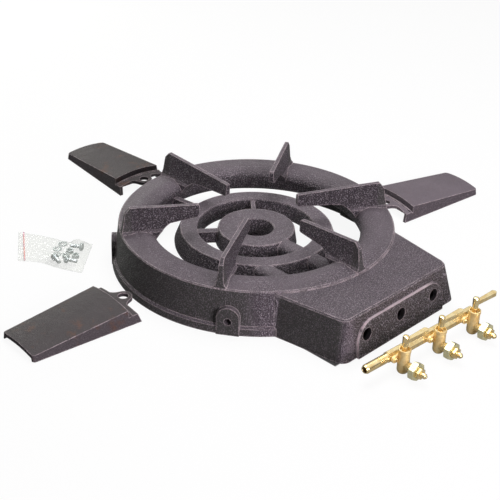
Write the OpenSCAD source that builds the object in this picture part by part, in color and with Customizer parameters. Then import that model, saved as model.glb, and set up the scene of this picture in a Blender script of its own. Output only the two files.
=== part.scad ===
// Cast iron gas stove laid out as a kit: the stove casting on the floor, three loose legs,
// a brass manifold with three taps in front of the gas box, and a bag of leg bolts.
// Millimetres, +Z up, origin on the axis of the rings at the floor, gas box towards -Y.

/* [Ring] */
// Radius of the outer edge of the ring's top
ring_r = 190; // [182:1:205]
// Height of that edge above the floor
ring_h = 62; // [60:0.5:68]
// Radius of the ring's mouth at its lip
mouth_r = 143.5; // [139:0.5:148]
// How far the crown rises above the outer edge
crown_h = 3; // [1.5:0.5:5]
// How far the lip hangs below the outer edge
lip_drop = 11; // [9:0.5:13]
// Plan width of the rounded lip
lip_width = 21.5; // [17:0.5:25]
// How far the skirt spreads between the top edge and the floor
skirt_spread = 6.7; // [4:0.1:9]
// Wall of the skirt
skirt_wall = 9; // [7:0.5:10]
// How far the bead at the floor stands proud of the skirt
bead_out = 3; // [1.5:0.5:4]
// Height of the bead
bead_h = 13.5; // [10:0.5:16]
// Underside of the ring's gas channel above the floor
ring_floor = 35; // [33:0.5:37]
// Wall round every gas channel
channel_wall = 6; // [5:0.25:6.5]
// Height of the relief in the back of the rim
relief_h = 14; // [8:0.5:16]

/* [Burner rings] */
// Height of the burner tops above the floor
burner_h = 50; // [48:0.5:52]
// Height of a burner ring's section
burner_depth = 24; // [22:0.5:26]
// Outer radius of the middle burner's top
mid_out_r = 105.7; // [100:0.1:110]
// Inner radius of the middle burner's top
mid_in_r = 81.5; // [76:0.5:84]
// How far the middle burner's outer wall flares
mid_flare = 8.8; // [5:0.1:10]
// Outer radius of the centre burner's top
cen_out_r = 53.2; // [50:0.1:57]
// Radius of the hole in the centre burner
cen_in_r = 23.8; // [20:0.1:27]
// How far the centre burner's outer wall flares
cen_flare = 4; // [2:0.5:6]
// How far the burners' inner walls draw in
inner_flare = 3; // [1:0.5:4]
// Rounding of the burners' inner top edge
burner_round = 3; // [1:0.5:4]
// Thickness of the wide rib between centre and middle burner
rib_wide = 11; // [8:0.5:14]
// Thickness of the other two ribs
rib_thin = 6; // [5:0.5:8]
// How far the rib tops lie below the burner tops
rib_sink = 3; // [1:0.5:6]

/* [Gas tubes] */
// Distance between neighbouring gas holes
gas_pitch = 67; // [64:0.5:70]
// Height of the gas holes above the floor
gas_z = 28.7; // [27.5:0.1:29.5]
// Diameter of the gas holes and of the mixing tubes
gas_d = 17; // [14:0.5:17.5]
// Wall of the mixing tubes
tube_wall = 4.5; // [4:0.25:5]
// Air gap between the front wall and the mouths of the tubes
air_gap = 16; // [12:1:24]

/* [Gas box] */
// Distance from the ring's axis to the box's front at the floor
box_front = 257; // [245:1:275]
// Height of the box
box_h = 59; // [57:0.5:60]
// Half width of the box's front at its top
box_half = 104.5; // [101:0.5:108]
// How much wider the box grows on each side towards the ring
box_flare = 16; // [8:1:18]
// How far the box's left side draws in at the top
box_left_draft = 5; // [2:0.5:8]
// How far the box's right side draws in at the top
box_right_draft = 17; // [4:0.5:18]
// How far the box's front draws back at the top
box_front_draft = 6; // [3:0.5:8]
// Radius of the box's upright corners
box_corner = 13; // [9:0.5:16]
// Wall of the box
box_wall = 6.5; // [5.5:0.5:7.5]
// Half width of the raised front panel
panel_half = 85.5; // [82:0.5:93]
// Height of the raised front panel
panel_h = 46.5; // [44:0.5:50]
// Radius of the panel's top corners
panel_corner = 28; // [18:1:34]
// How far the panel stands proud of the box's front
panel_out = 4; // [2.5:0.1:5]

/* [Pan supports] */
// Height of the supports' highest point
support_h = 100; // [94:1:108]
// Thickness of a support at its foot
support_foot = 10; // [8:0.5:12]
// Thickness of a support at its top
support_top = 5; // [4:0.5:7]
// Distance of a long support's tip from the axis
long_tip = 56.5; // [50:0.5:64]
// Distance of a short support's tip from the axis
short_tip = 82; // [74:0.5:88]
// How far a long support's tip lies below its highest point
tip_fall = 6; // [3:0.5:8]
// Height of the tip's end face
tip_face = 17.5; // [12:0.5:20]

/* [Leg bosses] */
// Width of a boss
boss_w = 30; // [26:0.5:34]
// Height of a boss
boss_h = 40; // [34:0.5:44]
// How far a boss stands out past the skirt's foot
boss_out = 3; // [2:0.5:7]
// Diameter of the bolt hole in a boss
boss_hole_d = 9.5; // [8.5:0.1:11]
// Height of the bolt hole above the floor
boss_hole_z = 20; // [14:0.5:22]

/* [Legs] */
// Length of a leg's plate
leg_len = 140; // [125:1:160]
// Width of the plate at its far end
leg_far_w = 69; // [62:1:76]
// Width of the plate at the end with the lug
leg_near_w = 82; // [76:1:90]
// Height of the plate's edges at the far end
leg_far_h = 8.5; // [7.5:0.5:11]
// Height of the plate's edges at the end with the lug
leg_near_h = 20; // [18:0.5:24]
// Radius of the plate's crown
leg_crown_r = 180; // [150:5:240]
// Thickness of the plate and its edges
leg_wall = 5; // [4:0.25:5.5]
// Rounding of the plate's far corners
leg_corner = 4; // [3:0.5:8]
// Height of the lug's top face
lug_h = 16.7; // [15:0.1:18]
// Thickness of the lug
lug_wall = 5.5; // [4.5:0.25:6.5]
// Distance from the step to the lug's hole
lug_reach = 20; // [18:0.5:24]
// Diameter of the lug's hole
lug_hole_d = 14; // [11:0.5:15]
// Outer radius of the lug's rounded tip
lug_r = 12; // [11:0.5:14]
// How far the ledge runs past the step
ledge_len = 12; // [9:0.5:14]

/* [Manifold] */
// Diameter of a tap's barrel
barrel_d = 15.2; // [14.5:0.1:16.5]
// Height of a tap's barrel to its rim
barrel_h = 35; // [33:0.5:38]
// Height of the bar's axis above the floor
bar_z = 20.5; // [18.5:0.5:22]
// Width across flats of the eight-sided bar
bar_af = 13.6; // [12.8:0.1:14.6]
// Diameter of the gas bore in the bar
bar_bore_d = 7; // [5.5:0.5:7.5]
// How far the bar runs past the last tap
bar_over = 13.5; // [13:0.5:16]
// Distance between the taps' barrels and the bar's face
bar_gap = 0.2; // [0.1:0.05:0.5]
// Height of a tap's outlet above the floor
outlet_z = 12.5; // [12.4:0.1:13.5]
// Diameter of the outlet's thread
outlet_d = 11.4; // [10.5:0.1:12]
// Distance from a tap's axis to its lock nut
nut_start = 15.8; // [14.5:0.1:18]
// Thickness of a lock nut
nut_t = 8.6; // [6:0.1:9]
// Width across flats of a lock nut
nut_af = 21.4; // [19:0.1:21.4]
// Width across flats of a jet's hexagon
jet_af = 13; // [11:0.5:15]
// Diameter of a jet's nose
jet_d = 7; // [5.5:0.5:8]
// Distance from a tap's axis to a jet's end
jet_end = 37; // [34:0.5:42]
// Length of a tap's lever
lever_len = 40; // [32:1:48]
// Top of the lever's post above the floor
post_h = 54; // [50:0.5:60]
// Radial clearance between a tap's key and its body
key_gap = 0.05; // [0.02:0.01:0.08]
// Outer diameter of the hose tail
tail_d = 12; // [11:0.5:13]
// Diameter of the hose tail's bore
tail_bore_d = 8; // [6:0.5:8.5]
// Length of the hose tail outside the bar
tail_len = 41; // [38:0.5:52]

/* [Bag of bolts] */
// Width of the bag
bag_w = 82.5; // [78:0.5:92]
// Length of the bag
bag_l = 100.5; // [96:0.5:120]
// Thickness of the bag's film
film = 0.5; // [0.4:0.05:0.7]
// Height of the bag over the bolts
bag_h = 15; // [15:0.5:22]
// Nominal diameter of the leg bolts
bolt_d = 6; // [5:0.5:6.5]
// Length of a bolt under its head
bolt_len = 14; // [11:0.5:16]

/* [Hidden] */
$fn = 96;

coat = [0.24, 0.22, 0.24];
brass = [0.84, 0.67, 0.33];
sand_brass = [0.72, 0.57, 0.31];
pale_brass = [0.88, 0.80, 0.48];
zinc = [0.70, 0.74, 0.74];
clear_film = [0.90, 0.93, 0.88, 0.5];
pink = [0.88, 0.45, 0.52];

past = 1;
gas_r = gas_d / 2;
tube_r = gas_r + tube_wall;
support_angles = [90, 150, 210, 270, 330, 30];
boss_angles = [214, 138, 356];
relief_angles = [15, 100];

// Places of the loose pieces on the floor: x, y and the turn about Z
leg_left_at = [-1.25 * ring_r, 0.1605 * ring_r, -4.5];
leg_back_at = [0.1421 * ring_r, 1.4947 * ring_r, -94.9];
leg_right_at = [1.3779 * ring_r, -0.2095 * ring_r, 170.7];
manifold_at = [0.0058 * box_front, -1.2385 * box_front, -3];
bag_at = [-1.0463 * ring_r, 1.0674 * ring_r, 46.6];

// Points along an arc of an ellipse
function arc(c, rx, ry, from, to, steps) =
    [for (i = [0:steps]) let(a = from + (to - from) * i / steps)
        [c[0] + rx * cos(a), c[1] + ry * sin(a)]];

// Regular hexagon of a width across flats
module hexagon(af) { circle(r = af / 2 / cos(30), $fn = 6); }

// Ring with its crown, lip, skirt and bead
function skirt_r(z) = ring_r + skirt_spread * (ring_h - z) / ring_h;
edge_r = 1.5;
function ring_outline() = concat(
    [[skirt_r(0) - skirt_wall, 0],
     [skirt_r(0) + bead_out - edge_r, 0],
     [skirt_r(0) + bead_out, edge_r],
     [skirt_r(bead_h) + bead_out, bead_h - edge_r * 2],
     [skirt_r(bead_h), bead_h],
     [ring_r, ring_h - edge_r],
     [ring_r - edge_r, ring_h]],
    arc([mouth_r + lip_width, ring_h - lip_drop], lip_width, lip_drop + crown_h, 90, 180, 9),
    [[mouth_r + 3.5, ring_floor + edge_r],
     [mouth_r + 3.5 + edge_r, ring_floor],
     [skirt_r(ring_floor) - skirt_wall, ring_floor]]);
channel_z = ring_floor + channel_wall;
channel_in = mouth_r + channel_wall + 4;
channel_out = ring_r - channel_wall - 2;
module ring_channel() {
    rotate_extrude()
        polygon([[channel_in, channel_z],
                 [channel_out, channel_z],
                 [channel_out, ring_h - channel_wall],
                 [mouth_r + lip_width, ring_h + crown_h - channel_wall],
                 [channel_in, ring_h - channel_wall + 1]]);
}

// A burner ring and the channel cored inside it
burner_base = burner_h - burner_depth;
function wall_in(r, z) = r - inner_flare * (burner_h - z) / burner_depth;
function wall_out(r, flare, z) = r + flare * (burner_h - z) / burner_depth;
module burner_ring(in_r, out_r, flare) {
    rotate_extrude()
        polygon(concat(
            arc([in_r + burner_round, burner_h - burner_round], burner_round, burner_round, 180, 90, 4),
            [[out_r - 1, burner_h],
             [out_r, burner_h - 1],
             [wall_out(out_r, flare, burner_base + 3), burner_base + 3],
             [wall_out(out_r, flare, burner_base) - edge_r, burner_base],
             [wall_in(in_r, burner_base) + edge_r, burner_base],
             [wall_in(in_r, burner_base + 3), burner_base + 3]]));
}
module burner_channel(in_r, out_r, flare) {
    low = burner_base + channel_wall;
    high = burner_h - channel_wall;
    rotate_extrude()
        polygon([[wall_in(in_r, low) + channel_wall, low],
                 [wall_out(out_r, flare, low) - channel_wall, low],
                 [wall_out(out_r, flare, high) - channel_wall, high],
                 [wall_in(in_r, high) + channel_wall, high]]);
}

// Collar that carries the centre burner's hole further down
collar_drop = 6;
module collar() {
    low = burner_base - collar_drop;
    rotate_extrude()
        polygon([[wall_in(cen_in_r, low) + edge_r, low],
                 [wall_in(cen_in_r, low) + channel_wall, low],
                 [wall_in(cen_in_r, low) + channel_wall, burner_base + channel_wall / 2],
                 [wall_in(cen_in_r, burner_base) + edge_r, burner_base + channel_wall / 2],
                 [wall_in(cen_in_r, low + edge_r), low + edge_r]]);
}

// Mixing tubes from the box to the three burners
mouth_y = -box_front + box_wall - 2.8 + air_gap;
mid_mean_r = (mid_in_r + mid_out_r) / 2;
cen_mean_r = (cen_in_r + cen_out_r) / 2;
ring_mean_r = (channel_in + channel_out) / 2;
mid_end_y = -sqrt(mid_mean_r * mid_mean_r - gas_pitch * gas_pitch);
cen_end_y = -cen_mean_r;
riser_y = -sqrt(ring_mean_r * ring_mean_r - gas_pitch * gas_pitch);
tube_low = gas_z - tube_r;
tube_round = 11;
module along_y(from, to) {
    translate([0, to, 0])
        rotate([90, 0, 0])
            linear_extrude(to - from)
                children();
}
module tube_section() {
    translate([-tube_r, tube_low]) square([2 * tube_r, burner_h - tube_low - tube_round]);
    translate([-tube_r + tube_round, tube_low]) square([2 * (tube_r - tube_round), burner_h - tube_low]);
    for (side = [-1, 1])
        translate([side * (tube_r - tube_round), burner_h - tube_round]) circle(r = tube_round);
}
module straight_tube(x, end_y) {
    translate([x, 0, 0]) {
        along_y(mouth_y, -ring_r + 5) translate([0, gas_z]) circle(r = tube_r);
        along_y(-ring_r + 2, end_y) tube_section();
    }
}
module riser_tube() {
    translate([gas_pitch, 0, 0])
        along_y(mouth_y, riser_y + tube_r) translate([0, gas_z]) circle(r = tube_r);
}
module tube_bores() {
    far = -box_front - 30;
    for (t = [[-gas_pitch, mid_end_y - tube_wall], [0, cen_end_y - tube_wall], [gas_pitch, riser_y + gas_r]])
        translate([t[0], 0, 0])
            along_y(far, t[1]) translate([0, gas_z]) circle(r = gas_r);
    translate([gas_pitch, riser_y, gas_z]) cylinder(r = gas_r, h = channel_z + 2 - gas_z);
}

// Ribs between the rings
module rib(angle, from, to, thick) {
    base = burner_base + 4.3;
    rotate([0, 0, angle])
        translate([from, -thick / 2, base])
            cube([to - from, thick, burner_h - rib_sink - base]);
}
module ribs() {
    rib(142, cen_mean_r + 8, mid_mean_r - 6, rib_wide);
    rib(48, cen_mean_r + 8, mid_mean_r - 6, rib_thin);
    rib(98, mid_mean_r + 6, channel_in - 2, rib_thin + 2);
}

// Gas box: a drafted shell open underneath, with a raised front panel
box_back = 140;
module box_corners(spread, front, z, shrink) {
    r = box_corner - shrink;
    for (side = [-1, 1]) {
        half = box_half - box_corner + spread * (side < 0 ? box_left_draft : box_right_draft);
        translate([side * half, -front + box_corner, z]) cylinder(r = r, h = 0.1, $fn = 32);
        translate([side * (half + box_flare), -box_back, z]) cylinder(r = r, h = 0.1, $fn = 32);
    }
}
module box_blank(out) {
    hull() {
        box_corners(1, box_front + out, 0, 0);
        box_corners(0, box_front + out - box_front_draft, box_h - 2.4, 0);
        box_corners(0, box_front + out - box_front_draft, box_h - 0.1, 2);
    }
}
module box_hollow(out) {
    hull() {
        box_corners(1, box_front + out, -past, box_wall);
        box_corners(0, box_front + out - box_front_draft, box_h - box_wall, box_wall);
    }
}
panel_x = 2;
module panel_outline(inset) {
    half = panel_half - inset;
    high = panel_h - inset;
    r = panel_corner - inset;
    translate([panel_x, 0])
        intersection() {
            translate([-half, -past]) square([2 * half, high + past]);
            union() {
                translate([-half, -past]) square([2 * half, high - r + past]);
                translate([-half + r, -past]) square([2 * (half - r), high + past]);
                for (side = [-1, 1])
                    translate([side * (half - r), high - r]) circle(r = r);
            }
        }
}
module panel(inset) {
    along_y(-box_front - 2 * panel_out, -box_front + 20) panel_outline(inset);
}
module box_shell() {
    difference() {
        union() {
            ring_outside();
            difference() {
                union() {
                    box_blank(0);
                    intersection() {
                        box_blank(panel_out);
                        panel(0);
                    }
                }
                translate([0, 0, -past]) cylinder(r = ring_r - 2, h = box_h + 2 * past);
            }
        }
        difference() {
            union() {
                box_hollow(0);
                intersection() {
                    box_hollow(panel_out);
                    panel(box_wall);
                }
            }
            translate([0, 0, ring_floor]) cylinder(r = ring_r - 1, h = box_h);
        }
    }
}
module ring_outside() { rotate_extrude() polygon(ring_outline()); }

// Pan supports standing on the ring
function sweep_c() = [mouth_r - 48.4, ring_h - 37.3];
sweep_r = 54.8;
foot_flare = 3.5;
module support(tip, fall) {
    top = support_h;
    level = support_h - 26;
    intersection() {
        rotate([90, 0, 0])
            linear_extrude(support_foot + 3 * foot_flare, center = true)
                polygon(concat(
                    [[ring_r - 1, ring_h - 3],
                     [ring_r - 1, ring_h],
                     [ring_r - 6, top - 8],
                     [ring_r - 13, top],
                     [tip + 1.5, top - fall],
                     [tip, top - fall - 1.5],
                     [tip + 0.6, top - fall - tip_face + 1.5],
                     [tip + 2.5, top - fall - tip_face],
                     [mouth_r - 33.5, level]],
                    arc(sweep_c(), sweep_r, sweep_r, 60, 28.5, 8),
                    [[mouth_r + 6, ring_h - lip_drop],
                     [mouth_r + lip_width, ring_h - 3]]));
        rotate([90, 0, 90])
            linear_extrude(ring_r + past)
                polygon([for (side = [1, -1]) each let(half = support_foot / 2, low = ring_h + crown_h)
                    side > 0
                        ? [[half + foot_flare, ring_floor], [half + foot_flare, low - 2],
                           [half + 1, low + 1], [half - 0.6, low + 7], [support_top / 2, top + past]]
                        : [[-support_top / 2, top + past], [-half + 0.6, low + 7],
                           [-half - 1, low + 1], [-half - foot_flare, low - 2],
                           [-half - foot_flare, ring_floor]]]);
    }
}
module supports() {
    for (i = [0:len(support_angles) - 1])
        rotate([0, 0, support_angles[i]])
            support(i % 2 == 0 ? long_tip : short_tip, i % 2 == 0 ? tip_fall : tip_fall - 1);
}

// Arched bosses for the legs, with a flat inside face
boss_face = skirt_r(0) + boss_out;
boss_back = skirt_r(0) - skirt_wall - 4;
module bosses() {
    for (a = boss_angles)
        rotate([0, 0, a])
            translate([boss_back, 0, 0])
                rotate([90, 0, 90])
                    linear_extrude(boss_face - boss_back) {
                        translate([-boss_w / 2, 0]) square([boss_w, boss_h - boss_w / 2]);
                        translate([0, boss_h - boss_w / 2]) circle(r = boss_w / 2);
                    }
}
module boss_holes() {
    for (a = boss_angles)
        rotate([0, 0, a])
            translate([boss_back - past, 0, boss_hole_z])
                rotate([0, 90, 0])
                    cylinder(d = boss_hole_d, h = boss_face - boss_back + 2 * past);
}
module back_relief() {
    rotate([0, 0, relief_angles[0]])
        rotate_extrude(angle = relief_angles[1] - relief_angles[0])
            translate([skirt_r(0) - skirt_wall - 10, -past])
                square([skirt_wall + bead_out + 20, relief_h + past]);
}

module stove_casting() {
    color(coat)
        difference() {
            union() {
                box_shell();
                straight_tube(-gas_pitch, mid_end_y);
                straight_tube(0, cen_end_y);
                riser_tube();
                burner_ring(mid_in_r, mid_out_r, mid_flare);
                burner_ring(cen_in_r, cen_out_r, cen_flare);
                collar();
                ribs();
                supports();
                bosses();
            }
            ring_channel();
            burner_channel(mid_in_r, mid_out_r, mid_flare);
            burner_channel(cen_in_r, cen_out_r, cen_flare);
            tube_bores();
            boss_holes();
            back_relief();
        }
}

// A leg lying on its edges, crown up, with its step at x = 0 and its lug towards +X
function sag(half) = leg_crown_r - sqrt(leg_crown_r * leg_crown_r - half * half);
leg_near_crown = leg_near_h + sag(leg_near_w / 2);
leg_far_crown = leg_far_h + sag(leg_far_w / 2);
leg_tilt = atan((leg_near_crown - leg_far_crown) / leg_len);
notch_r = 14.5;
groove_w = 2.4;
ridge_w = 2;
leg_draft = 0.2;
ledge_lean = 0.35;
module leg_plan(inset, z, far, near) {
    far_y = leg_far_w / 2 - inset + leg_draft * (leg_far_h - z);
    near_y = leg_near_w / 2 - inset + leg_draft * (leg_far_h - z);
    grow = (near_y - far_y) / leg_len;
    r = leg_corner;
    translate([0, 0, z])
        linear_extrude(0.1)
            polygon(concat([[near, -near_y - grow * near], [near, near_y + grow * near]],
                           arc([far + r, far_y - r], r, r, 90, 180, 5),
                           arc([far + r, -far_y + r], r, r, 180, 270, 5)));
}
module leg_prism(inset, low, high, far, near, lean) {
    hull() {
        leg_plan(inset, low, far, near - lean * (low - lug_h));
        leg_plan(inset, high, far, near - lean * (high - lug_h));
    }
}
module leg_crown(drop) {
    translate([0, 0, leg_near_crown - drop - leg_crown_r / cos(leg_tilt)])
        rotate([0, 90 - leg_tilt, 0])
            cylinder(r = leg_crown_r, h = 4 * leg_len, center = true, $fn = 180);
}
module low_crown(from, to, lift) {
    translate([from, 0, lug_h + lift - leg_crown_r])
        rotate([0, 90, 0])
            cylinder(r = leg_crown_r, h = to - from, $fn = 180);
}
module lug() {
    difference() {
        union() {
            translate([0, -lug_r - 8]) square([lug_reach + 2, 2 * (lug_r + 8)]);
            translate([lug_reach, 0]) circle(r = lug_r);
        }
        for (side = [-1, 1])
            translate([ledge_len + notch_r - 1, side * (lug_r + notch_r - 0.5)]) circle(r = notch_r);
    }
}
module leg() {
    lug_low = lug_h - lug_wall;
    top = leg_near_crown + past;
    difference() {
        union() {
            intersection() {
                leg_prism(0, 0, top, -leg_len, ledge_len, ledge_lean);
                union() {
                    intersection() {
                        leg_crown(0);
                        translate([-2 * leg_len, -leg_len, 0]) cube([2 * leg_len, 2 * leg_len, top]);
                    }
                    low_crown(-leg_wall, 2 * lug_reach, 0);
                    low_crown(groove_w + 1, groove_w + 1 + ridge_w, 1.5);
                }
            }
            intersection() {
                linear_extrude(top) lug();
                low_crown(-leg_wall, 3 * lug_reach, 0);
            }
        }
        intersection() {
            leg_prism(leg_wall, -past, top, -leg_len - 2 * leg_corner, 2 * lug_reach, 0);
            union() {
                intersection() {
                    leg_crown(leg_wall);
                    translate([-2 * leg_len, -leg_len, -2 * past])
                        cube([2 * leg_len - leg_wall, 2 * leg_len, top + leg_far_h]);
                }
                translate([-leg_wall - past, -leg_len, -2 * past])
                    cube([2 * leg_len, 2 * leg_len, lug_low + 2 * past]);
            }
        }
        difference() {
            low_crown(0, groove_w, 1);
            low_crown(-past, groove_w + past, -1);
        }
        translate([lug_reach, 0, -past]) cylinder(d = lug_hole_d, h = lug_h + 3 * past);
    }
}
module placed(at) { translate([at[0], at[1], 0]) rotate([0, 0, at[2]]) children(); }
module leg_left() { color(coat) placed(leg_left_at) leg(); }
module leg_back() { color(coat) placed(leg_back_at) leg(); }
module leg_right() { color(coat) placed(leg_right_at) leg(); }

// Manifold, in a frame with its middle tap at the origin and the bar towards +Y
barrel_r = barrel_d / 2;
bar_face = barrel_r + bar_gap;
bar_y = bar_face + bar_af / 2;
bar_end = gas_pitch + bar_over;
spigot_d = 8.8;
spigot_gap = 0.05;
spigot_in = (bar_af - bar_bore_d) / 2 - 0.6;
screw_in = 1.9;
screw_x = 10.5;
screw_d = 3.8;
screw_head_d = 5.6;
screw_head_t = 2.4;
flange_t = 3.2;
flange_r = 4.6;
tail_spigot = 8;
module at_tap(index) { placed(manifold_at) translate([(index - 1) * gas_pitch, 0, 0]) children(); }
module along_bar(from, to) {
    translate([from, bar_y, bar_z])
        rotate([90, 0, 90])
            linear_extrude(to - from)
                children();
}
module manifold_bar() {
    color(brass)
        placed(manifold_at)
            difference() {
                along_bar(-bar_end, bar_end)
                    rotate(22.5) circle(r = bar_af / 2 / cos(22.5), $fn = 8);
                along_bar(-bar_end - past, bar_end - 8) circle(d = bar_bore_d);
                along_bar(-bar_end - past, -bar_end + tail_spigot + 0.3) circle(d = spigot_d);
                for (i = [-1:1])
                    translate([i * gas_pitch, bar_face - past, bar_z])
                        rotate([-90, 0, 0]) {
                            cylinder(d = spigot_d, h = past + bar_af / 2);
                            for (side = [-1, 1])
                                translate([side * screw_x, 0, 0])
                                    cylinder(d = screw_d, h = past + screw_in + 0.2);
                        }
            }
}
module hose_tail() {
    body_r = tail_d / 2;
    ring_w = 2.9;
    color(brass)
        placed(manifold_at)
            translate([-bar_end, bar_y, bar_z])
                rotate([0, -90, 0])
                    rotate_extrude()
                        polygon(concat(
                            [[tail_bore_d / 2 - 1.2, -tail_spigot],
                             [spigot_d / 2 - spigot_gap, -tail_spigot],
                             [spigot_d / 2 - spigot_gap, 0],
                             [body_r, 0]],
                            [for (i = [0:4]) each
                                [[body_r, 1.6 + (i + 1) * ring_w],
                                 [body_r - 0.8, 2 + (i + 1) * ring_w],
                                 [body_r - 0.8, 2.3 + (i + 1) * ring_w],
                                 [body_r, 2.8 + (i + 1) * ring_w]]],
                            [[body_r, tail_len - 2.5],
                             [body_r - 1.2, tail_len],
                             [tail_bore_d / 2, tail_len],
                             [tail_bore_d / 2, tail_len - 14],
                             [tail_bore_d / 2 - 1.2, tail_len - 18]]));
}

// One tap: body, key with lever, gland ring, flange screws, lock nut and jet
cup_r = 6.4;
cup_floor = barrel_h - 5;
rim_r = barrel_r + 0.6;
key_low = 6;
key_low_r = 4;
key_top_r = 5.2;
outlet_hole = 4;
nut_end = nut_start + nut_t;
jet_seat = nut_end + 0.6;
jet_hex_t = 4.4;
jet_spigot = 7;
jet_spigot_d = 6;
module tap_body(index) {
    color(sand_brass)
        at_tap(index)
            difference() {
                union() {
                    rotate_extrude()
                        polygon(concat(
                            [[0, 0]],
                            arc([barrel_r - 5, 6], 5, 6, -90, 0, 7),
                            [[barrel_r, barrel_h - 5],
                             [rim_r, barrel_h - 4.2],
                             [rim_r, barrel_h - 0.5],
                             [rim_r - 0.5, barrel_h],
                             [0, barrel_h]]));
                    translate([0, 0, outlet_z]) rotate([90, 0, 0]) {
                        cylinder(r = outlet_d / 2 - 0.6, h = nut_start);
                        translate([0, 0, nut_start - 3.4]) cylinder(r = outlet_d / 2 + 0.9, h = 3.4);
                        cylinder(d = outlet_d, h = jet_seat);
                    }
                    translate([0, bar_face, bar_z]) rotate([90, 0, 0]) {
                        linear_extrude(flange_t) {
                            square([2 * screw_x, 2 * flange_r], center = true);
                            for (side = [-1, 1])
                                translate([side * screw_x, 0]) circle(r = flange_r);
                        }
                        translate([0, 0, -spigot_in])
                            cylinder(d = spigot_d - 2 * spigot_gap, h = spigot_in + barrel_r);
                    }
                }
                translate([0, 0, key_low - 0.2])
                    cylinder(r1 = key_low_r + key_gap, r2 = key_top_r + key_gap,
                             h = cup_floor - key_low + 0.2);
                translate([0, 0, cup_floor - 0.01]) cylinder(r = cup_r, h = barrel_h);
                translate([0, 0, outlet_z]) rotate([90, 0, 0]) {
                    cylinder(d = outlet_hole, h = nut_start);
                    translate([0, 0, jet_seat - jet_spigot - 0.4]) cylinder(d = jet_spigot_d, h = 3 * jet_spigot);
                }
                translate([0, 0, bar_z]) rotate([-90, 0, 0]) cylinder(d = outlet_hole, h = bar_y);
                for (side = [-1, 1])
                    translate([side * screw_x, 0, bar_z])
                        rotate([-90, 0, 0]) cylinder(d = screw_d + 0.3, h = bar_y);
            }
}
gland_t = 2.4;
stem_r = 3.4;
post_r = 4.1;
arm_t = 5.4;
arm_drop = 11.5;
arm_root = 4.6;
arm_tip = 7.4;
module tap_key(index) {
    plug_top = cup_floor - 0.3;
    arm_z = post_h - arm_drop;
    color(brass)
        at_tap(index)
            difference() {
                union() {
                    translate([0, 0, key_low])
                        cylinder(r1 = key_low_r, r2 = key_top_r - 0.02, h = plug_top - key_low);
                    rotate_extrude()
                        polygon([[0, plug_top - 1],
                                 [stem_r, plug_top - 1],
                                 [stem_r, barrel_h + 1],
                                 [post_r, arm_z + 2],
                                 [post_r, post_h - 2],
                                 [post_r - 0.7, post_h - 0.6],
                                 [post_r - 2, post_h],
                                 [0, post_h]]);
                    translate([0, 0, arm_z])
                        linear_extrude(arm_t) {
                            polygon([[0, -arm_root / 2],
                                     [lever_len - arm_tip / 2, -arm_tip / 2],
                                     [lever_len - arm_tip / 2, arm_tip / 2],
                                     [0, arm_root / 2]]);
                            translate([lever_len - arm_tip / 2, 0]) circle(d = arm_tip);
                        }
                }
                for (z = [bar_z, outlet_z])
                    translate([0, 0, z]) rotate([0, 90, 0]) cylinder(d = outlet_hole - 1, h = 20, center = true);
                translate([0, 0, key_low - past]) cylinder(d = outlet_hole - 1, h = bar_z - key_low + past);
            }
}
module gland(index) {
    color(brass)
        at_tap(index)
            translate([0, 0, cup_floor])
                difference() {
                    cylinder(r = cup_r - spigot_gap, h = gland_t);
                    translate([0, 0, -past]) cylinder(r = stem_r + key_gap, h = gland_t + 2 * past);
                }
}
module flange_screws(index) {
    color(brass)
        at_tap(index)
            for (side = [-1, 1])
                translate([side * screw_x, bar_face - flange_t, bar_z])
                    rotate([-90, 0, 0]) {
                        difference() {
                            translate([0, 0, -screw_head_t]) cylinder(d = screw_head_d, h = screw_head_t);
                            translate([-0.5, -screw_head_d, -screw_head_t - past])
                                cube([1, 2 * screw_head_d, past + 1]);
                        }
                        cylinder(r = screw_d / 2 - spigot_gap, h = flange_t + screw_in);
                    }
}
module along_outlet(index, from, to) {
    at_tap(index)
        translate([0, -from, outlet_z])
            rotate([90, 0, 0])
                linear_extrude(to - from)
                    children();
}
module lock_nut(index) {
    color(pale_brass)
        along_outlet(index, nut_start, nut_end)
            difference() {
                rotate(30) hexagon(nut_af);
                circle(r = outlet_d / 2 + spigot_gap);
            }
}
module along_jet(index) {
    at_tap(index)
        translate([0, -jet_seat, outlet_z])
            rotate([90, 0, 0])
                rotate_extrude()
                    children();
}
module jet(index) {
    spigot_r = jet_spigot_d / 2 - spigot_gap;
    nose = jet_end - jet_seat;
    color(brass)
        difference() {
            union() {
                along_outlet(index, jet_seat, jet_seat + jet_hex_t) rotate(30) hexagon(jet_af);
                along_jet(index)
                    polygon([[0, -jet_spigot],
                             [spigot_r, -jet_spigot],
                             [spigot_r, 0.6],
                             [jet_d / 2, 0.6],
                             [jet_d / 2, nose - 2],
                             [jet_d / 2 - 1.6, nose],
                             [0, nose]]);
            }
            along_jet(index)
                polygon([[0, -jet_spigot - past],
                         [1.5, -jet_spigot - past],
                         [1.5, nose - 4],
                         [0.5, nose - 3],
                         [0.5, nose + past],
                         [0, nose + past]]);
        }
}
module tap_body_left() { tap_body(0); }
module tap_body_middle() { tap_body(1); }
module tap_body_right() { tap_body(2); }
module tap_key_left() { tap_key(0); }
module tap_key_middle() { tap_key(1); }
module tap_key_right() { tap_key(2); }
module gland_left() { gland(0); }
module gland_middle() { gland(1); }
module gland_right() { gland(2); }
module flange_screws_left() { flange_screws(0); }
module flange_screws_middle() { flange_screws(1); }
module flange_screws_right() { flange_screws(2); }
module lock_nut_left() { lock_nut(0); }
module lock_nut_middle() { lock_nut(1); }
module lock_nut_right() { lock_nut(2); }
module jet_left() { jet(0); }
module jet_middle() { jet(1); }
module jet_right() { jet(2); }

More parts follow.
